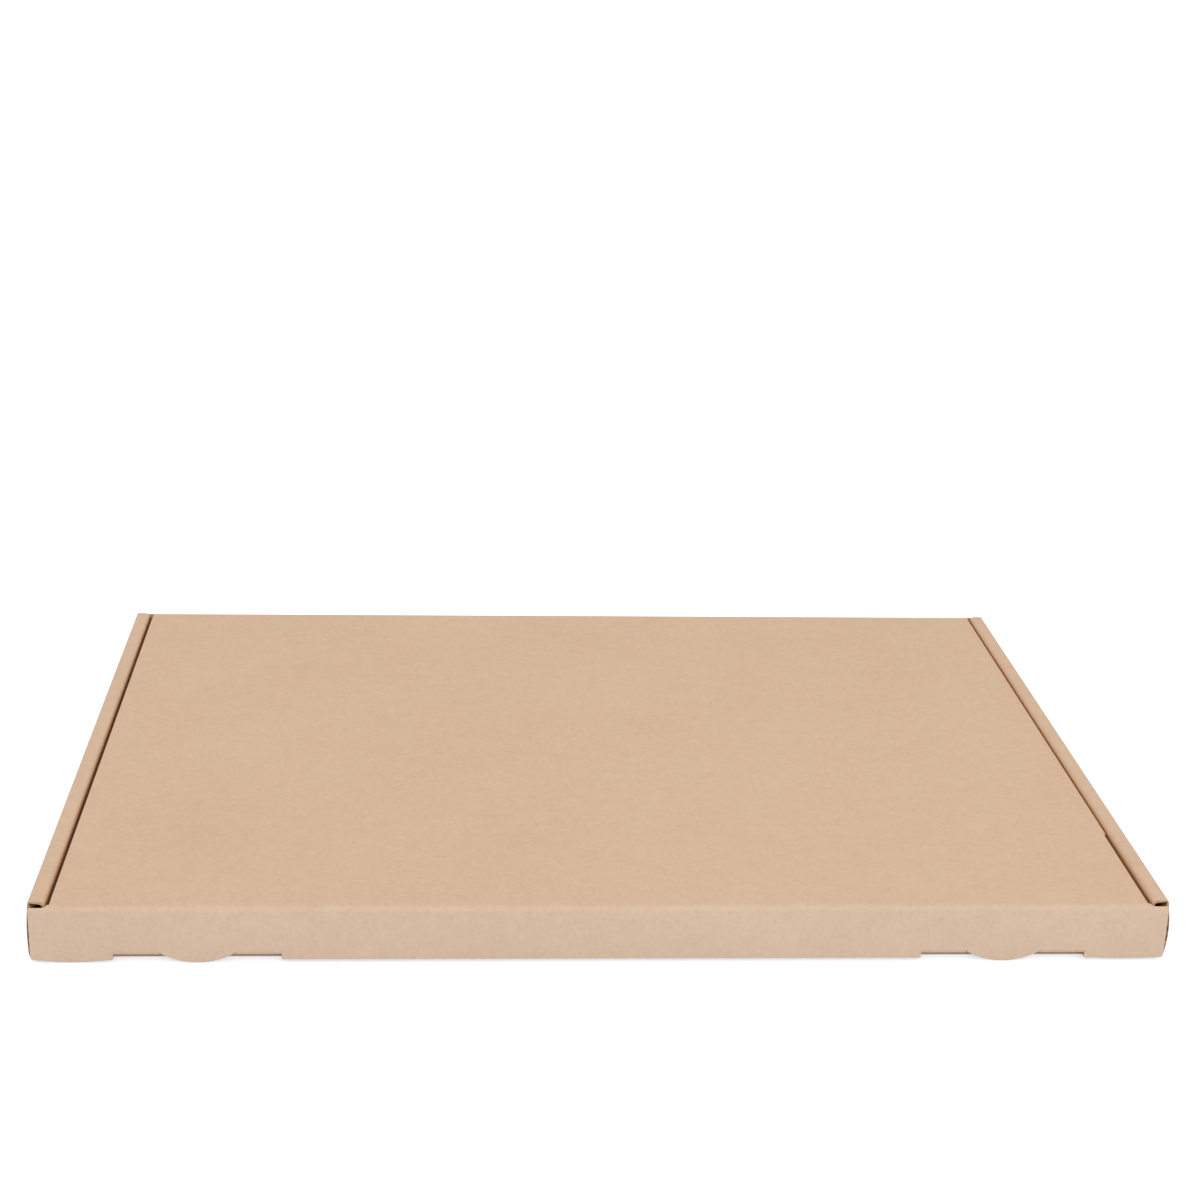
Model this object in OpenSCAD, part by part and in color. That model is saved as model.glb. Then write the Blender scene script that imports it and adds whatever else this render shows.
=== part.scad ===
// Large letter mailer box: one sheet of thin corrugated board, die-cut and folded.
// A tray with rolled double side walls carries a hinged lid, whose front flap folds
// down outside the front wall and locks there with two tucked tabs.
// Frame: X across the front, Y from front to rear, Z up, origin under the middle.

/* [Mailer] */
// Outside width, across the two side rolls
box_w = 350; // [300:1:420]
// Outside depth, from the front flap to the rear wall
box_d = 250; // [180:1:330]
// Outside height, at the top of the side rolls
box_h = 20; // [18:0.5:50]

/* [Board] */
// Thickness of the corrugated board
board = 1.6; // [1.2:0.1:2]
// Inside radius of the folds round the base
fold_in = 0.8; // [0.4:0.1:1.4]
// Gap between board faces that only rest on each other
rest_gap = 0.3; // [0.2:0.05:0.5]
// Gap between a crease and the panel that turns on it
crease_gap = 0.05; // [0.04:0.01:0.1]

/* [Side rolls] */
// Width of each rolled side, from the outer wall to the inner wall
roll_w = 6.3; // [6.2:0.1:9]
// Inside radius of the two shoulders along the top of a roll
shoulder_in = 0.6; // [0.3:0.1:0.9]
// How far the rear end of a roll stands in from the rear wall
roll_inset = 3; // [0.2:0.1:4]
// Length of each foot under the inner wall
foot_len = 32; // [20:1:45]
// Distance of the two feet from the middle of the side
foot_y = 62; // [35:1:64]
// Play of a foot in its slot in the base
foot_play = 0.4; // [0.3:0.05:0.6]

/* [End walls] */
// How far the corner flaps and their folds stay below the top of the box
corner_drop = 6.5; // [5.5:0.5:9]
// Length of the corner flaps inside the rolls
corner_len = 58; // [30:1:80]
// Height lost at each edge of a corner flap's slanted end
corner_taper = 2.5; // [1:0.25:3]

/* [Lid] */
// How far the lid lies below the top of the rolls
lid_drop = 1; // [0.6:0.1:2]
// Gap between the lid's edge and the roll beside it
lid_gap = 1.1; // [0.8:0.1:2]
// Narrower gap along the rear stretch of the right edge
lid_gap_rear = 0.5; // [0.4:0.1:0.8]
// Length of the front stretch of the right edge, up to its step
lid_step_y = 49; // [20:1:120]

/* [Front flap] */
// How far the flap stays in from the outside of the box at each end
flap_inset = 1.2; // [0.8:0.1:2.5]
// Height of the flap's lower edge above the surface under the box
flap_lift = 1.2; // [0.3:0.1:2]
// How far the flap's shoulders stay below the crease line
shoulder_drop = 0.5; // [0.4:0.1:0.9]
// Radius of the flap's lower corners
flap_corner_r = 1; // [0.5:0.25:4]

/* [Lock] */
// Distance from each end of the flap to the lock tab next to it
tab_margin = 24.9; // [12:0.1:60]
// Width of each lock tab
tab_w = 50.8; // [36:0.2:60]
// Reach of a lock tab behind the flap
tab_len = 12; // [6:0.5:20]
// Radius of the lock tab's free corners
tab_corner_r = 5; // [2:0.5:5.5]
// Play between a lock tab and its slot
tab_play = 0.3; // [0.2:0.05:0.6]
// Width of the half-moon tongue between the two folds of a tab
tongue_w = 24.2; // [16:0.2:30]
// Height of the tongue's lowest point above the surface under the box
tongue_lift = 0.2; // [0.1:0.05:0.3]

/* [Hidden] */
$fn = 64;
kraft = "burlywood";
cut = 1;

half_w = box_w / 2;
half_d = box_d / 2;
fold_out = fold_in + board;
shoulder_out = shoulder_in + board;

// The front wall stands behind the flap, the rear wall at the very back
front_y = -half_d + board + rest_gap;
rear_y = half_d;

// Outer face of the corner flaps, midway in the hollow of a roll
corner_x = half_w - board - (roll_w - 3 * board) / 2;
corner_top = box_h - corner_drop;
foot_x = half_w - roll_w;

// Both creases of the lid run through the middle of its thickness
crease_r = board / 2;
crease_z = box_h - lid_drop - crease_r;
rear_crease_y = half_d - crease_r;
front_crease_y = -half_d + crease_r;
lid_under = crease_z - crease_r;
lid_half = half_w - roll_w - lid_gap;
lid_half_rear = half_w - roll_w - lid_gap_rear;
wall_top = lid_under - rest_gap;

flap_in_y = -half_d + board;
flap_half = half_w - flap_inset;
tab_x = flap_half - tab_margin - tab_w / 2;
// The lock tabs lie on the base, over the front wall's lower fold
tab_z = board + tab_play + 0.1;
notch_z = tab_z + board;
tongue_rise = notch_z - tongue_lift;
tongue_r = arc_radius(tongue_w, tongue_rise);
slot_z = board + 0.1;

// Radius of an arc from its chord and its rise
function arc_radius(chord, rise) = (chord * chord / 4 + rise * rise) / (2 * rise);

// An outline in Y and Z, carried along X from x0 to x1
module along_x(x0, x1) {
    translate([x0, 0, 0])
        rotate([90, 0, 90])
            linear_extrude(x1 - x0)
                children();
}

// An outline in X and Z, carried along Y from y0 to y1
module along_y(y0, y1) {
    translate([0, y1, 0])
        rotate([90, 0, 0])
            linear_extrude(y1 - y0)
                children();
}

// An outline in X and Y, raised from z0 to z1
module along_z(z0, z1) {
    translate([0, 0, z0])
        linear_extrude(z1 - z0)
            children();
}

module on_both_sides() {
    children();
    mirror([1, 0, 0])
        children();
}

module block(low, high) {
    translate(low)
        cube(high - low);
}

// The board's section where it turns through a right angle.
// The turn lies in the quadrant that the two signs point at.
module fold(inner, side_u, side_v) {
    outer = inner + board;
    intersection() {
        difference() {
            circle(outer);
            if (inner > 0)
                circle(inner);
        }
        translate([side_u < 0 ? -outer : 0, side_v < 0 ? -outer : 0])
            square(outer);
    }
}

// Section of the right side roll: outer wall, flat top and inner wall in one strip
module roll_section() {
    wall_end = box_h - shoulder_out;
    translate([half_w - fold_out, fold_out])
        fold(fold_in, 1, -1);
    translate([half_w - board, fold_out])
        square([board, wall_end - fold_out]);
    translate([half_w - shoulder_out, wall_end])
        fold(shoulder_in, 1, 1);
    translate([foot_x + shoulder_out, box_h - board])
        square([roll_w - 2 * shoulder_out, board]);
    translate([foot_x + shoulder_out, wall_end])
        fold(shoulder_in, -1, 1);
    translate([foot_x, board + rest_gap])
        square([board, wall_end - board - rest_gap]);
}

// A foot under the inner wall, reaching down through the base
module foot(y) {
    block([foot_x, y - foot_len / 2, rest_gap], [foot_x + board, y + foot_len / 2, board + rest_gap + cut]);
}

module foot_slot(y) {
    play = foot_len / 2 + foot_play;
    block([foot_x - foot_play, y - play, -cut], [foot_x + board + foot_play, y + play, board + cut]);
}

// Room for an end wall, cut from the inner wall of the roll
module end_wall_room() {
    room = board + rest_gap;
    for (y = [front_y - cut, rear_y - room])
        block([foot_x - cut, y, 0], [foot_x + board + cut / 4, y + room + cut, corner_top + rest_gap]);
}

module side_roll() {
    difference() {
        along_y(front_y, rear_y - roll_inset)
            roll_section();
        end_wall_room();
    }
    for (y = [-foot_y, foot_y])
        foot(y);
}

// Section of an end wall, its outer face on Y = 0 and the tray on the side of +Y
module end_wall_section(top) {
    translate([fold_out, fold_out])
        fold(fold_in, -1, -1);
    translate([0, fold_out])
        square([board, top - fold_out]);
}

// One corner fold and its flap, which lies inside the roll
module corner_flap() {
    along_z(fold_out, corner_top)
        translate([corner_x - fold_out, fold_out])
            fold(fold_in, 1, -1);
    low = board + rest_gap;
    along_x(corner_x - board, corner_x)
        polygon([
            [fold_out, low],
            [corner_len, low + corner_taper],
            [corner_len, corner_top - corner_taper],
            [fold_out, corner_top]
        ]);
}

// An end wall with its two corner flaps: lower at the corners than between the rolls
module end_wall(left, right, top) {
    straight = corner_x - fold_out;
    along_x(-straight, straight)
        end_wall_section(corner_top);
    along_x(left, right)
        end_wall_section(top);
    on_both_sides()
        corner_flap();
}

module front_wall() {
    difference() {
        translate([0, front_y, 0])
            end_wall(-lid_half, lid_half, wall_top);
        for (side = [-1, 1])
            lock_slot(side);
    }
}

module lock_slot(side) {
    half = tab_w / 2 + tab_play;
    block(
        [side * tab_x - half, front_y - cut, slot_z],
        [side * tab_x + half, front_y + board + cut, notch_z + tab_play]
    );
}

// The rear wall ends in the rounded crease that the lid turns on
module rear_wall() {
    translate([0, rear_y, 0])
        mirror([0, 1, 0])
            end_wall(-lid_half, lid_half_rear, crease_z);
    along_x(-lid_half, lid_half_rear)
        translate([rear_crease_y, crease_z])
            circle(crease_r);
}

module base() {
    difference() {
        block(
            [-half_w + fold_out, front_y + fold_out, 0],
            [half_w - fold_out, rear_y - fold_out, board]
        );
        on_both_sides()
            for (y = [-foot_y, foot_y])
                foot_slot(y);
    }
}

module tray() {
    color(kraft) {
        base();
        front_wall();
        rear_wall();
        on_both_sides()
            side_roll();
    }
}

// The lid in plan, with the small step in its right edge
module lid_outline() {
    rear = rear_crease_y - crease_r - crease_gap;
    step = -half_d + lid_step_y;
    polygon([
        [-lid_half, front_crease_y],
        [lid_half, front_crease_y],
        [lid_half, step],
        [lid_half_rear, step],
        [lid_half_rear, rear],
        [-lid_half, rear]
    ]);
}

module lid() {
    color(kraft) {
        along_z(lid_under, lid_under + board)
            lid_outline();
        along_x(-lid_half, lid_half)
            translate([front_crease_y, crease_z])
                circle(crease_r);
    }
}

// The flap's face below its shoulders, with rounded lower corners
module flap_face() {
    top = crease_z - shoulder_drop;
    inner = flap_half - flap_corner_r;
    low = flap_lift + flap_corner_r;
    translate([-inner, flap_lift])
        square([2 * inner, top - flap_lift]);
    translate([-flap_half, low])
        square([2 * flap_half, top - low]);
    for (x = [-inner, inner])
        translate([x, low])
            circle(flap_corner_r);
}

// The half-moon that stays in the flap's plane where the tab folds away
module tongue() {
    intersection() {
        translate([0, tongue_lift + tongue_r])
            circle(tongue_r);
        translate([-tongue_w, tongue_lift - cut])
            square([2 * tongue_w, notch_z - tongue_lift + 1.5 * cut]);
    }
}

module front_flap() {
    neck_top = crease_z - crease_r - crease_gap;
    top = crease_z - shoulder_drop;
    color(kraft)
        along_y(-half_d, flap_in_y)
            difference() {
                union() {
                    difference() {
                        flap_face();
                        for (side = [-1, 1])
                            translate([side * tab_x - tab_w / 2, flap_lift - cut])
                                square([tab_w, notch_z - flap_lift + cut]);
                    }
                    for (side = [-1, 1])
                        translate([side * tab_x, 0])
                            tongue();
                }
                // Room for the rounded crease at the front of the lid
                translate([-lid_half - lid_gap / 2, neck_top])
                    square([2 * lid_half + lid_gap, top - neck_top + cut]);
            }
}

// A lock tab: it turns in under the flap and lies on the base, behind the front wall
module lock_tab(side) {
    half = tab_w / 2;
    end_y = flap_in_y + tab_len;
    // Length of board that the quarter turn takes up, at mid-thickness
    turn = PI * board / 4;
    moon_y = flap_in_y + tongue_rise - turn - tongue_r;
    color(kraft)
        translate([side * tab_x, 0, 0])
            difference() {
                union() {
                    along_x(-half, half)
                        translate([flap_in_y, notch_z])
                            fold(0, -1, -1);
                    along_z(tab_z, notch_z)
                        tab_outline(half, end_y);
                }
                block(
                    [-tongue_w / 2 - tab_play, -half_d - cut, 0],
                    [tongue_w / 2 + tab_play, flap_in_y + crease_gap, notch_z + cut]
                );
                translate([0, moon_y, 0])
                    cylinder(h = notch_z + cut, r = tongue_r + tab_play, $fn = 160);
            }
}

module tab_outline(half, end_y) {
    translate([-half, flap_in_y])
        square([2 * half, tab_len - tab_corner_r]);
    inner = half - tab_corner_r;
    translate([-inner, flap_in_y])
        square([2 * inner, tab_len]);
    for (x = [-inner, inner])
        translate([x, end_y - tab_corner_r])
            circle(tab_corner_r);
}

tray();
lid();
front_flap();
lock_tab(-1);  // left_lock_tab
lock_tab(1);  // right_lock_tab
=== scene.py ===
"""Folds a large letter mailer box from flat sheets of fluted kraft board.

Every board is cut flat, in millimetres: the flutes run along Y, the outer liner lies on Z = 0
and the inner liner on Z = BOARD. It is then folded upwards, towards its inside, and set in place.
"""

import math

import bmesh
import bpy
from mathutils import Matrix, Vector, noise

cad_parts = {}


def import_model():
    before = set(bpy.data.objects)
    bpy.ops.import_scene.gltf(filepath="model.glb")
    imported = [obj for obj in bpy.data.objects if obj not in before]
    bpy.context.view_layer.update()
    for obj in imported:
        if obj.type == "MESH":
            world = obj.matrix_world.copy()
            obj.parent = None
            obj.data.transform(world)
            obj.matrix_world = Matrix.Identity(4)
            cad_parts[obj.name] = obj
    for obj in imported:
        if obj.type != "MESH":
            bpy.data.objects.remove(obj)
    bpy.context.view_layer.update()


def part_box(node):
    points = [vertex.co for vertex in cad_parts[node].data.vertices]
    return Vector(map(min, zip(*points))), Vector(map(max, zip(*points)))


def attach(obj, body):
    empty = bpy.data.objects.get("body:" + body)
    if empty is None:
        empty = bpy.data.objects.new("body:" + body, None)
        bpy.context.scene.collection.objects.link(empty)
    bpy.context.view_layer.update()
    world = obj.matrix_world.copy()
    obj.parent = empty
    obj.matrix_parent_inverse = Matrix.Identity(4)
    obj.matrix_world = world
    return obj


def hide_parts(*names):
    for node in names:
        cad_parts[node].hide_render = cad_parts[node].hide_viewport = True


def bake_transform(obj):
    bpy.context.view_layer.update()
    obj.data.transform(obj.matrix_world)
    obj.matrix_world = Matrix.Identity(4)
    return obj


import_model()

bl_info = {
    "name": "Large letter mailer box",
    "version": (1, 0, 0),
    "blender": (4, 5, 0),
    "location": "3D View > Sidebar > Mailer",
    "description": "Folds a flat mailer box from sheets of fluted kraft board",
    "category": "Add Mesh",
}

MM = 0.001
QUARTER = math.pi / 2
# Material places of every board
LINER, CORE = 0, 1


def node_box(node):
    """Lowest and highest corner of a CAD node in millimetres."""
    low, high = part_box(node)
    return low / MM, high / MM


TRAY_LOW, TRAY_HIGH = node_box("tray")
LID_LOW, LID_HIGH = node_box("lid")
FLAP_LOW, FLAP_HIGH = node_box("front_flap")
TAB_LOW, TAB_HIGH = node_box("right_lock_tab")
BOARD = LID_HIGH.z - LID_LOW.z

# From the outer face of a creased board to the end of the crease's leg on it, in millimetres
CREASE_LEG = 2.6
# Places closer together than this are one place, in millimetres
NEAR = 0.01


def length(name, description, default, low, high):
    """A length in millimetres that the panel shows."""
    return bpy.props.FloatProperty(
        name=name, description=f"{description}, mm", default=default, min=low, max=high
    )


def paper_colour(name, description, default):
    """A colour, as sRGB hex, that the panel shows."""
    return bpy.props.StringProperty(name=name, description=description, default=default)


class MailerBoard(bpy.types.PropertyGroup):
    """Make-up of the board, in millimetres."""

    liner: length("Liner", "Thickness of each liner", 0.24, 0.1, 0.5)
    paper: length("Fluted paper", "Thickness of the fluted paper", 0.2, 0.1, 0.4)
    pitch: length("Flute pitch", "From one flute to the next", 3.3, 2, 8)
    hollow: length("Flute depth", "How deep the cut flutes can be seen into", 1.8, 0.5, 5)
    soft: length("Softened edge", "Rounding of the liners along a die cut", 0.1, 0.02, 0.15)


class MailerFolds(bpy.types.PropertyGroup):
    """Folds, gaps and small irregularities, in millimetres."""

    base_inside: length("Base folds", "Inside radius of the folds round the base", 0.8, 0.2, 2)
    foot_inside: length("End folds", "Inside radius under the front and rear walls", 1.6, 0.2, 3)
    shoulder_inside: length("Shoulders", "Inside radius of the inner fold of a roll", 1.1, 0.2, 1.5)
    crease_inside: length("Lid creases", "Inside radius of the scored creases", 0.15, 0.05, 0.5)
    roll_width: length("Roll width", "Outside width of a rolled side", 6.3, 6, 12)
    edge_inside: length("Outer edge", "Inside radius of the sharp outer edge of a roll", 0.15, 0.05, 1)
    crushed: length("Crushed edge", "Board left at the outer edge of a roll", 0.55, 0.5, 1.6)
    pressed: length("Pressed shoulder", "Board left at the inner shoulder of a roll", 0.95, 0.5, 1.6)
    rest_gap: length("Resting gap", "Between boards that only rest on each other", 0.3, 0.1, 1)
    bow: length("Side bow", "How far the outer walls belly out", 0.6, 0, 1)
    right_bow: length("More bow", "How much more the right wall bellies out", 0.4, 0, 1)
    lean: length("Side lean", "How far the tops of the outer walls lean in", 0.45, 0, 1)
    ripple: length("Lid ripple", "Height of the lid's gentle waves", 0.14, 0, 1)
    foot_length: length("Foot", "Length of each foot under the inner walls", 32, 10, 60)
    foot_place: length("Foot place", "From the middle of a side to each foot", 62, 20, 100)
    corner_drop: length("Corner drop", "Corner flaps below the top of the box", 6.5, 2, 12)
    corner_length: length("Corner flap", "Length of the flaps inside the rolls", 58, 20, 90)
    lid_step: length("Lid step", "From the front to the step in the lid's right edge", 49, 5, 200)
    lid_step_width: length("Lid step width", "How far the lid widens behind the step", 0.6, 0.1, 1)
    tongue_width: length("Tongue", "Width of the half-moon tongues", 24.2, 10, 40)
    flap_lift: length("Flap lift", "The flap's lower edge above the floor", 1.2, 0.3, 2)
    left_sag: length("Left sag", "Sag of the flap's lower edge, left of the tabs", 0.8, 0, 1)
    right_sag: length("Right sag", "Sag of the flap's lower edge, right of the tabs", 0.3, 0, 1)
    tab_lift: length("Tab lift", "How far the lock tabs ride up in their slots", 0.3, 0, 1)
    ear_rise: length("Ear rise", "How far the flap's ends go on into the crease", 0.4, 0, 0.8)
    rear_inset: length("Rear inset", "From the rear wall's face to the rolls' ends", 3, 0.2, 4)


class MailerFinish(bpy.types.PropertyGroup):
    """Colours of the paper, as sRGB hex."""

    liner_light: paper_colour("Light liner", "Lighter flock of the kraft liner", "#E4C4A7")
    liner_dark: paper_colour("Dark liner", "Darker flock of the kraft liner", "#CFAD90")
    fibre: paper_colour("Specks", "Darker specks in the liner", "#A47C5A")
    core: paper_colour("Core", "Cut edges and the fluted paper", "#B98F69")
    floor: paper_colour("Floor", "Plain pale floor", "#DDEBFD")


def part_of(centre, half):
    """The two ends of a stretch."""
    return centre - half, centre + half


def steps_between(first, last, count):
    """Evenly spaced values from the first to the last, both included."""
    return [first + (last - first) * i / count for i in range(count + 1)]


def fold_reach(inside, board=BOARD):
    """Board that a right-angled fold takes up, along the middle of its thickness."""
    return QUARTER * (inside + board / 2)


def lines(*groups):
    """Sorted division lines, without repeats."""
    return sorted({round(value, 5) for group in groups for value in group})


def cut_sheet(bm, xs, ys, kept):
    """A flat sheet divided along the given lines, less the cells that are not kept."""
    columns, rows = len(xs) - 1, len(ys) - 1
    grid = bmesh.ops.create_grid(bm, x_segments=columns, y_segments=rows, size=1)
    for v in grid["verts"]:
        column = round((v.co.x + 1) / 2 * columns)
        row = round((v.co.y + 1) / 2 * rows)
        v.co = (xs[column], ys[row], 0)
    waste = [f for f in bm.faces if not kept(*f.calc_center_median().xy)]
    bmesh.ops.delete(bm, geom=waste, context="FACES")


def cut_outline(bm, points):
    """A flat sheet with the given outline."""
    bm.faces.new([bm.verts.new((x, y, 0)) for x, y in points])


def divide(bm, axis, values):
    """Divides every face along lines across the given axis."""
    normal = Vector((1, 0, 0)) if axis == 0 else Vector((0, 1, 0))
    for value in values:
        geom = bm.verts[:] + bm.edges[:] + bm.faces[:]
        bmesh.ops.bisect_plane(bm, geom=geom, dist=1e-4, plane_co=normal * value, plane_no=normal)


def arc(centre, radius, start, end, count):
    """Points on an arc, from one angle to the other."""
    return [
        (centre[0] + radius * math.cos(a), centre[1] + radius * math.sin(a))
        for a in steps_between(start, end, count)
    ]


def thicken(bm):
    """Gives the flat sheet the thickness of the board, upwards."""
    raised = bmesh.ops.extrude_face_region(bm, geom=bm.faces[:])["geom"]
    verts = [g for g in raised if isinstance(g, bmesh.types.BMVert)]
    bmesh.ops.translate(bm, vec=(0, 0, BOARD), verts=verts)
    bmesh.ops.recalc_face_normals(bm, faces=bm.faces[:])


def soften(bm, seam):
    """Rounds the liners along every die cut, but not where the board goes on in another piece."""
    sharp = 1
    rims = []
    for e in bm.edges:
        middle = (e.verts[0].co + e.verts[1].co) / 2
        if len(e.link_faces) == 2 and e.calc_face_angle() > sharp and not seam(middle):
            rims.append(e)
    soft = bpy.context.scene.mailer_board.soft
    bmesh.ops.bevel(
        bm, geom=rims, offset=soft, offset_type="OFFSET", segments=2, profile=0.5,
        affect="EDGES", clamp_overlap=True, material=-1,
    )
    bm.normal_update()


def mark_cuts(bm):
    """Cut edges show the core; the faces of the sheet keep the liner."""
    for f in bm.faces:
        f.material_index = CORE if abs(f.normal.z) < 0.5 else LINER


def open_flutes(bm, y, facing, x0, x1):
    """Hollows the cut ends of the flutes along one straight cut and lays the fluted paper in them."""
    board = bpy.context.scene.mailer_board
    ends = []
    for f in bm.faces:
        centre = f.calc_center_median()
        on_cut = f.normal.y * facing > 0.99 and abs(centre.y - y) < NEAR
        if on_cut and x0 < centre.x < x1:
            ends.append(f)
    if not ends:
        raise RuntimeError(f"no cut edge at y {y} between {x0} and {x1}")
    bmesh.ops.inset_region(
        bm, faces=ends, thickness=board.liner - board.soft, use_boundary=True, use_even_offset=True
    )
    deep = bmesh.ops.extrude_face_region(bm, geom=ends)["geom"]
    bmesh.ops.delete(bm, geom=ends, context="FACES")
    inner = [g for g in deep if isinstance(g, bmesh.types.BMVert)]
    bmesh.ops.translate(bm, vec=(0, -facing * board.hollow, 0), verts=inner)
    start = min(v.co.x for v in inner)
    end = max(v.co.x for v in inner)
    lay_flutes(bm, y, facing, start, end)


def lay_flutes(bm, y, facing, start, end):
    """One ribbon of fluted paper between the liners, set back a little from the cut."""
    board = bpy.context.scene.mailer_board
    steps_per_flute = 8
    set_back = 0.08
    swing = (BOARD - 2 * board.liner - board.paper) / 2
    count = max(4, round((end - start) / board.pitch * steps_per_flute))
    ribbon = bmesh.ops.create_grid(bm, x_segments=count, y_segments=1, size=1)["verts"]
    for v in ribbon:
        x = start + (end - start) * (v.co.x + 1) / 2
        inwards = set_back if v.co.y > 0 else board.hollow
        wave = math.sin(2 * math.pi * x / board.pitch)
        v.co = (x, y - facing * inwards, BOARD / 2 + board.paper / 2 + swing * wave)
    faces = list(dict.fromkeys(f for v in ribbon for f in v.link_faces))
    bmesh.ops.recalc_face_normals(bm, faces=faces)
    up = 1 if sum(f.normal.z for f in faces) > 0 else -1
    made = bmesh.ops.solidify(bm, geom=faces, thickness=up * board.paper)["geom"]
    backs = {g for g in made if isinstance(g, bmesh.types.BMFace)}
    rims_and_fronts = {f for v in ribbon for f in v.link_faces}
    for f in backs | rims_and_fronts:
        f.material_index = CORE


def note_flat_places(bm):
    """Keeps each point's place on the flat sheet, in metres, for patterns that follow it."""
    layer = bm.loops.layers.uv.new("sheet")
    for f in bm.faces:
        for loop in f.loops:
            loop[layer].uv = (loop.vert.co.x * MM, loop.vert.co.y * MM)


def fold(verts, axis, crease, side, inside, board=BOARD):
    """Turns what lies past a crease up through a right angle."""
    centre = board + inside
    reach = fold_reach(inside, board)
    for v in verts:
        past = (v.co[axis] - crease) * side
        if past <= 0:
            continue
        turn = min(past / reach, 1) * QUARTER
        rest = max(past - reach, 0)
        radius = centre - v.co.z
        v.co[axis] = crease + side * (radius * math.sin(turn) + rest * math.cos(turn))
        v.co.z = centre - radius * math.cos(turn) + rest * math.sin(turn)


def between(value, *stops):
    """Straight lines through (place, height) stops, level before the first and after the last."""
    if value <= stops[0][0]:
        return stops[0][1]
    for (x0, y0), (x1, y1) in zip(stops, stops[1:]):
        if value <= x1:
            return y0 + (y1 - y0) * (value - x0) / (x1 - x0)
    return stops[-1][1]


def hump(value, low, high):
    """0 outside a stretch and 1 at its middle."""
    share = (value - low) / (high - low)
    return math.sin(math.pi * share) if 0 < share < 1 else 0


def stand_up(bm, face_y, side):
    """Stands a flat board up: its height was along Y, and its outer liner goes to the given Y."""
    for v in bm.verts:
        v.co = (v.co.x, face_y - side * v.co.z, v.co.y)


def piece(bm, name, body=None, nodes=()):
    """Makes the finished board an object, in metres, on its body."""
    bmesh.ops.recalc_face_normals(bm, faces=bm.faces[:])
    bmesh.ops.scale(bm, vec=(MM, MM, MM), verts=bm.verts[:])
    mesh = bpy.data.meshes.new(name)
    bm.to_mesh(mesh)
    bm.free()
    mesh.shade_smooth()
    sharp_angle = 20
    mesh.set_sharp_from_angle(angle=math.radians(sharp_angle))
    mesh.materials.append(kraft_liner())
    mesh.materials.append(kraft_core())
    made = bpy.data.objects.new(name, mesh)
    bpy.context.scene.collection.objects.link(made)
    if body:
        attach(made, body)
    if nodes:
        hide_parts(*nodes)
    return made


class Roll:
    """Places across the right-hand roll, on the flat sheet and folded."""

    def __init__(self):
        folds = bpy.context.scene.mailer_folds
        base, edge, shoulder = folds.base_inside, folds.edge_inside, folds.shoulder_inside
        base_out, edge_out = base + BOARD, edge + folds.crushed
        shoulder_out = shoulder + folds.pressed
        top = TRAY_HIGH.z
        # Room for the bow, so that its belly is about the widest place of the box
        self.base_crease = TRAY_HIGH.x - folds.bow - base_out
        self.wall_start = self.base_crease + fold_reach(base)
        self.outer_crease = self.wall_start + top - edge_out - base_out
        self.top_start = self.outer_crease + fold_reach(edge, folds.crushed)
        self.inner_crease = self.top_start + folds.roll_width - folds.bow - edge_out - shoulder_out
        self.inner_start = self.inner_crease + fold_reach(shoulder, folds.pressed)
        inner_top = top - shoulder_out
        corner_top = top - folds.corner_drop + folds.rest_gap
        self.corner_line = self.inner_start + inner_top - corner_top
        self.inner_end = self.inner_start + inner_top - BOARD - folds.rest_gap
        self.foot_end = self.inner_start + inner_top - folds.rest_gap
        # The board thins towards the crushed edge, and is whole again below the inner shoulder
        self.crush_start = self.outer_crease - 2.5
        self.crush_full = self.outer_crease - 0.2
        self.crush_end = self.inner_start + 3

    def thickness(self, across):
        """Share of the board's thickness that is left after the shoulders were pressed."""
        folds = bpy.context.scene.mailer_folds
        crushed, pressed = folds.crushed / BOARD, folds.pressed / BOARD
        return between(
            across,
            (self.crush_start, 1), (self.crush_full, crushed), (self.top_start, crushed),
            (self.inner_crease, pressed), (self.inner_start, pressed), (self.crush_end, 1),
        )


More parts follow.
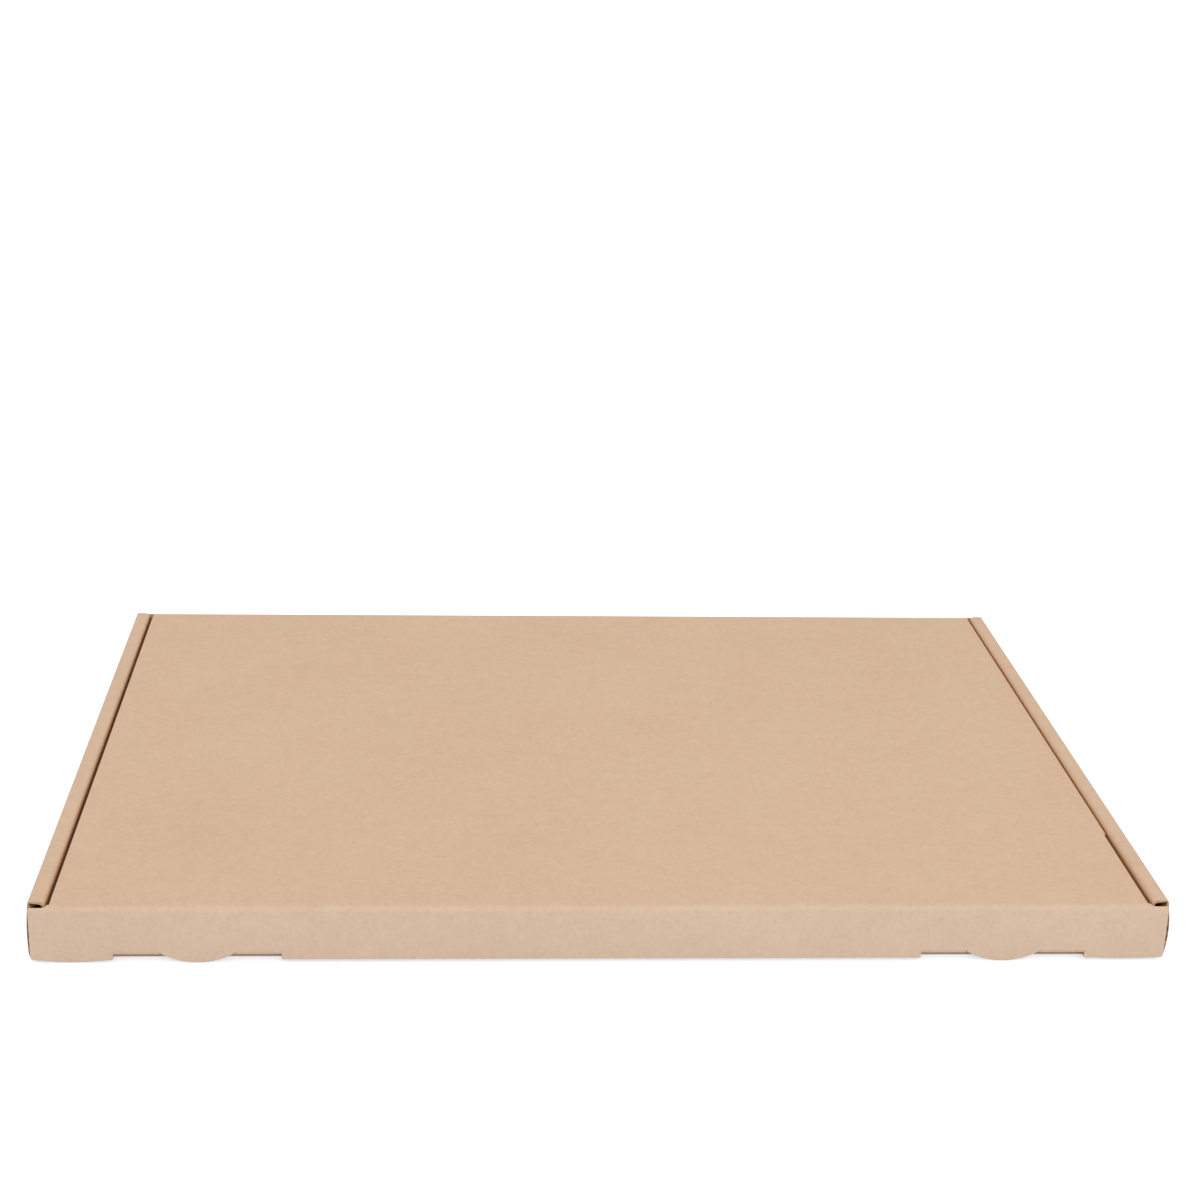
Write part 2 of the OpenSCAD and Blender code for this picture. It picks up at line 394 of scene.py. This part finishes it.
def base_and_rolls():
    """The base and both rolled sides, in one strip across the box."""
    folds = bpy.context.scene.mailer_folds
    roll = Roll()
    fold_steps = 7
    base_front = TRAY_LOW.y + folds.foot_inside + BOARD
    base_rear = TRAY_HIGH.y - folds.foot_inside - BOARD
    roll_rear = TRAY_HIGH.y - folds.rear_inset
    room_front = TRAY_LOW.y + BOARD + folds.rest_gap
    room_rear = TRAY_HIGH.y - BOARD - folds.rest_gap
    play = 0.4
    slot_in = TRAY_HIGH.x - folds.roll_width - play
    slot_out = slot_in + BOARD + 2 * play
    feet = [part_of(side * folds.foot_place, folds.foot_length / 2) for side in (-1, 1)]

    right = lines(
        [slot_in, slot_out],
        steps_between(roll.base_crease, roll.wall_start, fold_steps),
        steps_between(roll.wall_start, roll.crush_start, 6),
        steps_between(roll.crush_start, roll.crush_full, 3),
        steps_between(roll.outer_crease, roll.top_start, fold_steps),
        steps_between(roll.top_start, roll.inner_crease, 2),
        steps_between(roll.inner_crease, roll.inner_start, fold_steps),
        steps_between(roll.inner_start, roll.crush_end, 3),
        [roll.corner_line, roll.inner_end, roll.foot_end],
    )
    xs = lines([-x for x in right], [0], right)
    # Even divisions along the walls, for the bow to vary by
    bow_half, bow_steps = 100, 10
    ys = lines(
        [TRAY_LOW.y, room_front, base_front, base_rear, room_rear, roll_rear],
        [end for foot in feet for end in foot],
        [end + outwards * play for foot in feet for end, outwards in zip(foot, (-1, 1))],
        steps_between(-bow_half, bow_half, bow_steps),
    )

    def kept(x, y):
        across = abs(x)
        if across < roll.base_crease:
            in_slot = any(low - play < y < high + play for low, high in feet)
            return base_front < y < base_rear and not (slot_in < across < slot_out and in_slot)
        if across < roll.corner_line:
            return TRAY_LOW.y < y < roll_rear
        if across < roll.inner_end:
            return room_front < y < min(room_rear, roll_rear)
        return any(low < y < high for low, high in feet)

    bm = bmesh.new()
    cut_sheet(bm, xs, ys, kept)
    thicken(bm)
    straight = TRAY_HIGH.x - folds.base_inside * 2 - BOARD * 2

    def seam(place):
        on_wall = min(abs(place.y - base_front), abs(place.y - base_rear)) < NEAR
        return on_wall and abs(place.x) < straight

    soften(bm, seam)
    mark_cuts(bm)
    # The pressed board between the two walls has no open flutes left
    for side in (-1, 1):
        for near, far in ((roll.base_crease, roll.crush_start), (roll.crush_end, roll.foot_end)):
            low, high = sorted((side * near, side * far))
            open_flutes(bm, TRAY_LOW.y, -1, low, high)
            open_flutes(bm, roll_rear, 1, low, high)
    note_flat_places(bm)

    # The bow varies along a wall, and not alike on the left and the right
    wave_length, wave_strength, side_seed = 70, 0.3, 3
    inner_share = 0.5
    for v in bm.verts:
        across = abs(v.co.x)
        seed = Vector((v.co.y / wave_length, math.copysign(side_seed, v.co.x), 0))
        unevenness = 1 + wave_strength * noise.noise(seed)
        bow = folds.bow + (folds.right_bow if v.co.x > 0 else 0)
        bulge = hump(across, roll.base_crease, roll.top_start) * bow * unevenness
        give = hump(across, roll.inner_crease, roll.foot_end) * folds.bow * inner_share * unevenness
        v.co.z = v.co.z * roll.thickness(across) - bulge + give
    for side in (-1, 1):
        for crease, inside, board in (
            (roll.inner_crease, folds.shoulder_inside, folds.pressed),
            (roll.outer_crease, folds.edge_inside, folds.crushed),
            (roll.base_crease, folds.base_inside, BOARD),
        ):
            fold(bm.verts, 0, side * crease, side, inside, board)
    # The tops lean in a little, the outer edge more than the inner one
    inner_face = TRAY_HIGH.x - folds.roll_width
    for v in bm.verts:
        outward = max(0, abs(v.co.x) - inner_face) / folds.roll_width
        v.co.x -= math.copysign(folds.lean * outward * v.co.z / TRAY_HIGH.z, v.co.x)
    return piece(bm, "base_and_rolls", "tray", ["tray"])


class Corner:
    """Places along an end wall and its corner flaps, on the flat sheet."""

    def __init__(self):
        folds = bpy.context.scene.mailer_folds
        hollow = folds.roll_width - 3 * BOARD
        self.face = TRAY_HIGH.x - BOARD - hollow / 2
        self.crease = self.face - folds.base_inside - BOARD
        self.flap_start = self.crease + fold_reach(folds.base_inside)
        self.flap_end = self.flap_start + folds.corner_length - folds.base_inside - BOARD
        self.wall_foot = fold_reach(folds.foot_inside)
        self.corner_top = self.height(TRAY_HIGH.z - folds.corner_drop)

    def height(self, z):
        """Place up the flat wall of a height above the floor, past the fold."""
        folds = bpy.context.scene.mailer_folds
        return self.wall_foot + z - folds.foot_inside - BOARD


def end_wall(name, side, left, right, top, top_is_seam, slots):
    """A front or rear wall with its two corner flaps; side is -1 at the front."""
    folds = bpy.context.scene.mailer_folds
    corner = Corner()
    fold_steps = 6
    taper = 2.5
    flap_gap = 0.05
    flap_low = corner.wall_foot + flap_gap
    wall_top = corner.height(top)
    slot_low = corner.wall_foot / 2
    slot_high = corner.height(TAB_HIGH.z + folds.tab_lift + folds.rest_gap)
    flap_lines = lines(
        steps_between(corner.crease, corner.flap_start, fold_steps), [corner.flap_end]
    )
    slot_ends = [part_of(s * slots[0], slots[1]) for s in (-1, 1)] if slots else []
    xs = lines(
        [-x for x in flap_lines], [left, right], [end for slot in slot_ends for end in slot], flap_lines
    )
    ys = lines(
        steps_between(0, corner.wall_foot, fold_steps),
        [flap_low, corner.corner_top, wall_top],
        [slot_low, slot_high] if slots else [],
    )

    def kept(x, y):
        if slots and slot_low < y < slot_high and any(low < x < high for low, high in slot_ends):
            return False
        if abs(x) > corner.crease:
            return flap_low < y < corner.corner_top
        return y < corner.corner_top or left < x < right

    bm = bmesh.new()
    cut_sheet(bm, xs, ys, kept)
    thicken(bm)

    def seam(place):
        at_foot = abs(place.y) < NEAR
        at_top = top_is_seam and abs(place.y - wall_top) < NEAR
        return at_foot or at_top

    soften(bm, seam)
    mark_cuts(bm)
    corner_ends = ((-corner.flap_end, left), (right, corner.flap_end))
    for low, high in corner_ends:
        open_flutes(bm, corner.corner_top, 1, low, high)
    if not top_is_seam:
        open_flutes(bm, wall_top, 1, left, right)
    note_flat_places(bm)

    for v in bm.verts:
        along = (abs(v.co.x) - corner.flap_start) / (corner.flap_end - corner.flap_start)
        if along > 0:
            middle = (flap_low + corner.corner_top) / 2
            half = (corner.corner_top - flap_low) / 2
            v.co.y = middle + (v.co.y - middle) * (1 - along * taper / half)
    for hand in (-1, 1):
        fold(bm.verts, 0, hand * corner.crease, hand, folds.base_inside)
    fold(bm.verts, 1, 0, 1, folds.foot_inside)
    start = TRAY_LOW.y if side < 0 else TRAY_HIGH.y
    out = folds.foot_inside + BOARD
    for v in bm.verts:
        v.co.y = start + side * (v.co.y - out)
    return piece(bm, name, "tray", ["tray"])


def rear_wall_half():
    """Up to its crease, the rear wall goes on a little behind the rolls' ends and closes the gaps."""
    folds = bpy.context.scene.mailer_folds
    behind_roll = 1.2
    return TRAY_HIGH.x - folds.roll_width + behind_roll


def crease_strip(name, side, left, right, wall_half):
    """A scored crease, with a leg on each of its two boards; the lower leg may be the wider one."""
    folds = bpy.context.scene.mailer_folds
    inside = folds.crease_inside
    reach = fold_reach(inside)
    crease = LID_HIGH.z - BOARD - inside
    leg = CREASE_LEG - BOARD / 2 - inside
    ys = lines(
        steps_between(crease - leg, crease, 3),
        steps_between(crease, crease + reach, 16),
        steps_between(crease + reach, crease + reach + leg, 3),
    )
    xs = lines([-wall_half, wall_half], steps_between(left, right, 28))
    ear_top = crease + reach * 0.8
    bm = bmesh.new()
    cut_sheet(bm, xs, ys, lambda x, y: left < x < right or y < ear_top)
    thicken(bm)
    lid_leg = crease + reach

    def seam(place):
        return left + NEAR < place.x < right - NEAR or place.y < lid_leg

    soften(bm, seam)
    mark_cuts(bm)
    note_flat_places(bm)
    fold(bm.verts, 1, crease, 1, inside)
    face = LID_LOW.y if side < 0 else TRAY_HIGH.y
    stand_up(bm, face, side)
    made = piece(bm, name)
    if side < 0:
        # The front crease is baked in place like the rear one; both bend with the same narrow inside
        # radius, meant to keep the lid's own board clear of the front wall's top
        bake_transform(made)
    else:
        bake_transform(made)
    return made


def lid_panel():
    """The flat of the lid, between its two creases, with the step in its right edge."""
    folds = bpy.context.scene.mailer_folds
    front = LID_LOW.y + BOARD / 2 + CREASE_LEG
    rear = TRAY_HIGH.y - BOARD / 2 - CREASE_LEG
    left, right = LID_LOW.x, LID_HIGH.x
    narrow = right - folds.lid_step_width
    step = LID_LOW.y + folds.lid_step
    xs = lines(steps_between(left, narrow, 30), [right])
    ys = lines(steps_between(front, step, 5), steps_between(step, rear, 18))
    bm = bmesh.new()
    cut_sheet(bm, xs, ys, lambda x, y: x < narrow or y > step)
    thicken(bm)
    soften(bm, lambda place: abs(place.y - front) < NEAR or abs(place.y - rear) < NEAR)
    mark_cuts(bm)
    note_flat_places(bm)
    # The ripple fades out towards the creases, and to a part of its height towards the sides
    margin, side_share = 30, 0.35
    wave_across, wave_along = 75, 55
    for v in bm.verts:
        across = min(v.co.x - left, right - v.co.x) / margin
        along = min(v.co.y - front, rear - v.co.y) / margin
        fade = max(0, min(1, along)) * (side_share + (1 - side_share) * max(0, min(1, across)))
        wave = noise.noise(Vector((v.co.x / wave_across, v.co.y / wave_along, 0)))
        v.co.z = LID_HIGH.z - (BOARD - v.co.z) + folds.ripple * wave * fade
    return piece(bm, "lid_panel", "lid", ["lid"])


def flap_outline():
    """The front flap's outline, seen from the front: X across, Y up."""
    folds = bpy.context.scene.mailer_folds
    half = FLAP_HIGH.x
    low = folds.flap_lift
    corner = 1
    seam = LID_LOW.z + BOARD / 2 - CREASE_LEG
    lid_edge = -LID_LOW.x
    shoulder = FLAP_HIGH.z + folds.ear_rise
    shoulder_radius = 0.5
    ear_radius = 2.1
    ear_high = shoulder + 0.8
    notch = TAB_HIGH.z + folds.tab_lift
    nib = 0.45
    tab_low, tab_high = TAB_LOW.x, TAB_HIGH.x
    tab = (tab_low + tab_high) / 2
    rise = notch - FLAP_LOW.z
    tongue_half = folds.tongue_width / 2
    radius = (tongue_half ** 2 + rise ** 2) / (2 * rise)
    opening = math.asin(tongue_half / radius)
    down = -QUARTER

    moon = arc((tab, FLAP_LOW.z + radius), radius, down - opening, down + opening, 24)
    right = arc((tab_low - nib, low + nib), nib, down, 0, 4)
    right += [(tab_low, notch)] + moon + [(tab_high, notch)]
    right += arc((tab_high + nib, low + nib), nib, math.pi, math.pi - down, 4)
    right += arc((half - corner, low + corner), corner, down, 0, 8)
    right += arc((half - shoulder_radius, shoulder - shoulder_radius), shoulder_radius, 0, QUARTER, 4)
    ear_centre = (lid_edge + ear_radius, shoulder + ear_radius)
    lowest = math.asin((ear_high - ear_centre[1]) / ear_radius)
    right += arc(ear_centre, ear_radius, down, -math.pi - lowest, 6)
    right += [(lid_edge, ear_high), (lid_edge, seam)]
    left = [(-x, y) for x, y in reversed(right)]
    return right + left


def flap_panel():
    """The front flap below its crease, with its shoulders, its notches and two half-moon tongues."""
    folds = bpy.context.scene.mailer_folds
    inside = folds.crease_inside
    crease = LID_HIGH.z - BOARD - inside
    seam_y = LID_LOW.z + BOARD / 2 - CREASE_LEG
    notch = TAB_HIGH.z + folds.tab_lift
    low = folds.flap_lift
    tab = (TAB_LOW.x + TAB_HIGH.x) / 2
    bm = bmesh.new()
    cut_outline(bm, flap_outline())
    divide(bm, 1, [crease + fold_reach(inside) * i / 6 for i in range(6)])
    sag_steps = steps_between(TAB_HIGH.x, FLAP_HIGH.x, 6)[1:-1]
    divide(bm, 0, [-x for x in sag_steps] + sag_steps)
    thicken(bm)

    def seam(place):
        to_lid = abs(place.y - seam_y) < NEAR
        beside_crease = place.y > seam_y and abs(abs(place.x) + LID_LOW.x) < NEAR
        to_tab = abs(place.y - notch) < NEAR and TAB_LOW.x < abs(place.x) < TAB_HIGH.x
        return to_lid or beside_crease or to_tab

    soften(bm, seam)
    mark_cuts(bm)
    gap_half = (TAB_HIGH.x - TAB_LOW.x) / 2
    for x0, x1 in (
        (-FLAP_HIGH.x, -tab - gap_half),
        (-tab + gap_half, tab - gap_half),
        (tab + gap_half, FLAP_HIGH.x),
    ):
        open_flutes(bm, low, -1, x0, x1)
    note_flat_places(bm)
    # Between each end and the tab beside it the lower edge sags in a shallow curve
    sag_height = 6
    for v in bm.verts:
        depth = folds.left_sag if v.co.x < 0 else folds.right_sag
        sag = hump(abs(v.co.x), TAB_HIGH.x, FLAP_HIGH.x) * depth
        v.co.y -= sag * max(0, 1 - (v.co.y - low) / sag_height)
    fold(bm.verts, 1, crease, 1, inside)
    stand_up(bm, FLAP_LOW.y, -1)
    return piece(bm, "flap_panel", "front_flap", ["front_flap"])


def lock_tab(side):
    """A lock tab: its fold under the flap, and the flat that is tucked through the front wall."""
    folds = bpy.context.scene.mailer_folds
    name = "left_lock_tab" if side < 0 else "right_lock_tab"
    inside = 0.05
    reach = fold_reach(inside)
    half = (TAB_HIGH.x - TAB_LOW.x) / 2
    centre = (TAB_LOW.x + TAB_HIGH.x) / 2
    length = TAB_HIGH.y - (FLAP_LOW.y + BOARD + inside) + reach
    corner = 5
    play = 0.05
    top = TAB_HIGH.z + folds.tab_lift
    rise = top - FLAP_LOW.z
    tongue_half = folds.tongue_width / 2 + play
    radius = (tongue_half ** 2 + (rise + play) ** 2) / (2 * (rise + play))
    opening = math.asin(tongue_half / radius)
    bay = arc((0, rise + play - radius), radius, QUARTER + opening, QUARTER - opening, 24)
    points = [(-half, 0)] + bay + [(half, 0)]
    points += arc((half - corner, length - corner), corner, 0, QUARTER, 10)
    points += arc((corner - half, length - corner), corner, QUARTER, math.pi, 10)
    bm = bmesh.new()
    cut_outline(bm, points)
    divide(bm, 1, [reach * i / 6 for i in range(1, 7)])
    thicken(bm)
    soften(bm, lambda place: abs(place.y) < NEAR)
    mark_cuts(bm)
    note_flat_places(bm)
    fold(bm.verts, 1, 0, 1, inside)
    for v in bm.verts:
        # The fold went up from the flap, and the tab lies level behind it
        v.co = (side * centre + v.co.x, FLAP_LOW.y + v.co.z, top + inside - v.co.y)
    return piece(bm, name + "_board", "front_flap", [name])


def node(tree, kind, settings=None, **links):
    """Adds a node with its settings, and links or sets its inputs by name or number."""
    made = tree.nodes.new(kind)
    for key, value in (settings or {}).items():
        setattr(made, key, value)
    for key, value in links.items():
        place = made.inputs[int(key[1:])] if key[0] == "i" and key[1:].isdigit() else made.inputs[key]
        if isinstance(value, bpy.types.NodeSocket):
            tree.links.new(value, place)
        else:
            place.default_value = value
    return made


def remap(tree, value, given, wanted):
    """Takes a value from the given stretch to the wanted one, and holds it at their ends."""
    ends = {"From Min": given[0], "From Max": given[1], "To Min": wanted[0], "To Max": wanted[1]}
    made = node(tree, "ShaderNodeMapRange", {"clamp": True}, Value=value, **ends)
    return made.outputs["Result"]


def linear(hex_colour):
    """An sRGB hex colour as linear RGBA."""
    channels = [int(hex_colour[i:i + 2], 16) / 255 for i in (1, 3, 5)]
    return [c / 12.92 if c <= 0.04045 else ((c + 0.055) / 1.055) ** 2.4 for c in channels] + [1]


def new_material(name):
    """A material with only its output and a Principled shader."""
    made = bpy.data.materials.new(name)
    made.use_nodes = True
    return made, made.node_tree, made.node_tree.nodes["Principled BSDF"]


def kraft_liner():
    """Light brown kraft paper, calendered: a matt skin of pressed wood fibres over the flutes, with
    painted shade in narrow gaps.
    """
    name = "kraft_liner"
    if name in bpy.data.materials:
        return bpy.data.materials[name]
    finish = bpy.context.scene.mailer_finish
    board = bpy.context.scene.mailer_board
    made, tree, shader = new_material(name)
    place = node(tree, "ShaderNodeTexCoord").outputs["Object"]
    # Width of each kind of mottling in metres and its strength: pulp clouds, flock, pressed fibres
    tone = 0.5
    for width, strength, detail in ((0.045, 0.4, 2), (0.005, 0.45, 2), (0.0016, 0.8, 4)):
        grain = node(
            tree, "ShaderNodeTexNoise", Vector=place, Scale=1 / width, Detail=detail, Roughness=0.6
        ).outputs["Fac"]
        offset = node(tree, "ShaderNodeMath", {"operation": "SUBTRACT"}, i0=grain, i1=0.5).outputs[0]
        tone = node(
            tree, "ShaderNodeMath", {"operation": "MULTIPLY_ADD"}, i0=offset, i1=strength, i2=tone
        ).outputs[0]
    paper = node(
        tree, "ShaderNodeMix", {"data_type": "RGBA"},
        i0=tone, i6=linear(finish.liner_dark), i7=linear(finish.liner_light),
    ).outputs[2]
    # Only the highest peaks of a fine noise become specks
    speck_width = 0.0005
    speck = node(
        tree, "ShaderNodeTexNoise", Vector=place, Scale=1 / speck_width, Detail=1
    ).outputs["Fac"]
    few = remap(tree, speck, (0.66, 0.8), (0.0, 0.4))
    specked = node(
        tree, "ShaderNodeMix", {"data_type": "RGBA"}, i0=few, i6=paper, i7=linear(finish.fibre)
    ).outputs[2]
    # Painted shade: in a narrow gap, found by ambient occlusion, the colour is painted darker and more
    # saturated, standing in for light that meets the paper several times and takes on its colour each
    # time
    open_share = node(
        tree, "ShaderNodeAmbientOcclusion", {"samples": 6}, Distance=0.003
    ).outputs["AO"]
    # Low down, the near surface is the white floor, so the painted shade starts only where the gap is
    # more enclosed
    height = node(tree, "ShaderNodeSeparateXYZ", Vector=place).outputs["Z"]
    painted_shade_onset = remap(tree, height, (0.003, 0.009), (0.5, 0.9))
    painted_shade_saturation = remap(tree, open_share, (painted_shade_onset, 0.2), (1.0, 1.25))
    painted_shade_gamma = remap(tree, open_share, (painted_shade_onset, 0.1), (1.0, 2.6))
    # The gamma and saturation below paint the shade darker and warmer into the paper's colour
    deep = node(tree, "ShaderNodeGamma", Color=specked, Gamma=painted_shade_gamma).outputs["Color"]
    colour = node(tree, "ShaderNodeHueSaturation", Color=deep, Saturation=painted_shade_saturation).outputs["Color"]
    # The flutes show through as a faint washboard across the sheet
    sheet = node(tree, "ShaderNodeUVMap", {"uv_map": "sheet"}).outputs["UV"]
    across = node(tree, "ShaderNodeSeparateXYZ", Vector=sheet).outputs["X"]
    phase = node(
        tree, "ShaderNodeMath", {"operation": "MULTIPLY"},
        i0=across, i1=2 * math.pi / (board.pitch * MM),
    ).outputs[0]
    flutes = node(tree, "ShaderNodeMath", {"operation": "SINE"}, i0=phase).outputs[0]
    washboard = node(
        tree, "ShaderNodeBump", Height=flutes, Strength=0.3, Distance=0.00004
    ).outputs["Normal"]
    skin = node(
        tree, "ShaderNodeBump", Height=tone, Strength=0.4, Distance=0.00015, Normal=washboard
    ).outputs["Normal"]
    tree.links.new(colour, shader.inputs["Base Color"])
    tree.links.new(skin, shader.inputs["Normal"])
    shader.inputs["Roughness"].default_value = 0.85
    shader.inputs["Specular IOR Level"].default_value = 0.2
    return made


def kraft_core():
    """Raw kraft paper, cut: rougher and browner than the liner, with torn fibres."""
    name = "kraft_core"
    if name in bpy.data.materials:
        return bpy.data.materials[name]
    finish = bpy.context.scene.mailer_finish
    made, tree, shader = new_material(name)
    fibre_width = 0.0004
    place = node(tree, "ShaderNodeTexCoord").outputs["Object"]
    torn = node(
        tree, "ShaderNodeTexNoise", Vector=place, Scale=1 / fibre_width, Detail=3
    ).outputs["Fac"]
    colour = node(
        tree, "ShaderNodeMix", {"data_type": "RGBA"},
        i0=torn, i6=linear(finish.core), i7=linear(finish.liner_dark),
    ).outputs[2]
    rough = node(tree, "ShaderNodeBump", Height=torn, Strength=0.5, Distance=0.0001).outputs["Normal"]
    tree.links.new(colour, shader.inputs["Base Color"])
    tree.links.new(rough, shader.inputs["Normal"])
    shader.inputs["Roughness"].default_value = 0.95
    shader.inputs["Specular IOR Level"].default_value = 0.2
    return made


def camera_sees(tree):
    """1 for what the camera, a reflection or clear material sees."""
    path = node(tree, "ShaderNodeLightPath").outputs
    seen = path["Is Camera Ray"]
    for ray in ("Is Glossy Ray", "Is Transmission Ray"):
        seen = node(
            tree, "ShaderNodeMath", {"operation": "MAXIMUM"}, i0=seen, i1=path[ray]
        ).outputs[0]
    return seen


def floor():
    """A plain pale floor that keeps the box's shadow."""
    finish = bpy.context.scene.mailer_finish
    half_width, lift = 5, 0.6
    bm = bmesh.new()
    bmesh.ops.create_grid(bm, x_segments=1, y_segments=1, size=half_width)
    mesh = bpy.data.meshes.new("floor")
    bm.to_mesh(mesh)
    bm.free()
    made, tree, shader = new_material("pale_floor")
    shader.inputs["Base Color"].default_value = linear(finish.floor)
    shader.inputs["Roughness"].default_value = 1
    shader.inputs["Specular IOR Level"].default_value = 0
    glow = node(
        tree, "ShaderNodeMath", {"operation": "MULTIPLY"}, i0=camera_sees(tree), i1=lift
    ).outputs[0]
    tree.links.new(glow, shader.inputs["Emission Strength"])
    shader.inputs["Emission Color"].default_value = (1, 1, 1, 1)
    mesh.materials.append(made)
    ground = bpy.data.objects.new("floor", mesh)
    bpy.context.scene.collection.objects.link(ground)


def world():
    """Even white light from all round, and white behind the box."""
    made = bpy.data.worlds.new("studio")
    made.use_nodes = True
    tree = made.node_tree
    background = tree.nodes["Background"]
    background.inputs["Color"].default_value = (1, 1, 1, 1)
    ambient = 0.87
    strength = node(
        tree, "ShaderNodeMapRange", Value=camera_sees(tree), **{"To Min": ambient, "To Max": 1.0}
    ).outputs["Result"]
    tree.links.new(strength, background.inputs["Strength"])
    bpy.context.scene.world = made


def lamp(name, place, size, watts, colour):
    """A soft square lamp, turned to the middle of the box."""
    light = bpy.data.lights.new(name, "AREA")
    light.size = size
    light.energy = watts
    light.color = colour
    made = bpy.data.objects.new(name, light)
    made.location = place
    made.rotation_euler = (-Vector(place)).to_track_quat("-Z", "Y").to_euler()
    bpy.context.scene.collection.objects.link(made)


def camera():
    """The camera where the photographer's was: low over the front edge, a little to the left."""
    data = bpy.data.cameras.new("camera")
    data.sensor_width = 36
    data.lens = 63.96
    data.shift_x = 0.05
    data.clip_start = 0.01
    made = bpy.data.objects.new("camera", data)
    place = Vector((-50.14, -697.31, 330.69)) * MM
    pitch, yaw, roll = math.radians(20.345), math.radians(2.823), math.radians(1.277)
    level = math.cos(pitch)
    ahead = Vector((math.sin(yaw) * level, math.cos(yaw) * level, -math.sin(pitch)))
    right = Vector((math.cos(yaw), -math.sin(yaw), 0))
    up = right.cross(ahead)
    turned_right = right * math.cos(roll) + up * math.sin(roll)
    turned_up = up * math.cos(roll) - right * math.sin(roll)
    turn = Matrix((turned_right, turned_up, -ahead)).transposed().to_4x4()
    made.matrix_world = Matrix.Translation(place) @ turn
    bpy.context.scene.collection.objects.link(made)
    bpy.context.scene.camera = made


class MAILER_OT_base_and_rolls(bpy.types.Operator):
    """Fold the base and the two rolled sides"""

    bl_idname = "mailer.base_and_rolls"
    bl_label = "Base and rolls"

    def execute(self, context):
        base_and_rolls()
        return {"FINISHED"}


class MAILER_OT_end_walls(bpy.types.Operator):
    """Fold the front and rear walls with their corner flaps"""

    bl_idname = "mailer.end_walls"
    bl_label = "End walls"

    def execute(self, context):
        folds = context.scene.mailer_folds
        tab = (TAB_LOW.x + TAB_HIGH.x) / 2
        slot_half = (TAB_HIGH.x - TAB_LOW.x) / 2 + folds.rest_gap
        front_top = LID_LOW.z - folds.rest_gap
        rear_top = LID_LOW.z + BOARD / 2 - CREASE_LEG
        end_wall("front_wall", -1, LID_LOW.x, -LID_LOW.x, front_top, False, (tab, slot_half))
        wall_half = rear_wall_half()
        end_wall("rear_wall", 1, -wall_half, wall_half, rear_top, True, None)
        return {"FINISHED"}


class MAILER_OT_lid(bpy.types.Operator):
    """Make the lid and the creases at its rear and front edges"""

    bl_idname = "mailer.lid"
    bl_label = "Lid and creases"

    def execute(self, context):
        lid_panel()
        wall_half = rear_wall_half()
        crease_strip("rear_crease", 1, LID_LOW.x, LID_HIGH.x, wall_half)
        crease_strip("front_crease", -1, LID_LOW.x, -LID_LOW.x, -LID_LOW.x)
        return {"FINISHED"}


class MAILER_OT_front_flap(bpy.types.Operator):
    """Make the front flap and its two lock tabs"""

    bl_idname = "mailer.front_flap"
    bl_label = "Front flap and lock tabs"

    def execute(self, context):
        flap_panel()
        for side in (-1, 1):
            lock_tab(side)
        return {"FINISHED"}


class MAILER_OT_stage(bpy.types.Operator):
    """Set up the floor, the light and the camera"""

    bl_idname = "mailer.stage"
    bl_label = "Stage"

    def execute(self, context):
        floor()
        world()
        lamp("front_lamp", place=(0.5, -1.7, 0.8), size=1.2, watts=8.5, colour=(0.91, 1, 1.12))
        camera()
        context.scene.view_settings.view_transform = "Standard"
        return {"FINISHED"}


class MAILER_PT_panel(bpy.types.Panel):
    """Sizes, colours and steps of the mailer box"""

    bl_idname = "MAILER_PT_panel"
    bl_label = "Mailer box"
    bl_space_type = "VIEW_3D"
    bl_region_type = "UI"
    bl_category = "Mailer"

    def draw(self, context):
        for group_name in GROUPS:
            group = getattr(context.scene, group_name)
            box = self.layout.box()
            for name in group.__annotations__:
                box.prop(group, name)
        for step in STEPS:
            self.layout.operator(step.bl_idname)


STEPS = (
    MAILER_OT_base_and_rolls,
    MAILER_OT_end_walls,
    MAILER_OT_lid,
    MAILER_OT_front_flap,
    MAILER_OT_stage,
)
GROUPS = {
    "mailer_board": MailerBoard,
    "mailer_folds": MailerFolds,
    "mailer_finish": MailerFinish,
}


def register():
    for group in GROUPS.values():
        bpy.utils.register_class(group)
    for name, group in GROUPS.items():
        setattr(bpy.types.Scene, name, bpy.props.PointerProperty(type=group))
    for cls in STEPS + (MAILER_PT_panel,):
        bpy.utils.register_class(cls)


def unregister():
    for cls in reversed(STEPS + (MAILER_PT_panel,)):
        bpy.utils.unregister_class(cls)
    for name in GROUPS:
        delattr(bpy.types.Scene, name)
    for group in GROUPS.values():
        bpy.utils.unregister_class(group)


def main():
    register()
    bpy.ops.mailer.base_and_rolls()
    bpy.ops.mailer.end_walls()
    bpy.ops.mailer.lid()
    bpy.ops.mailer.front_flap()
    bpy.ops.mailer.stage()


if __name__ == "__main__":
    main()
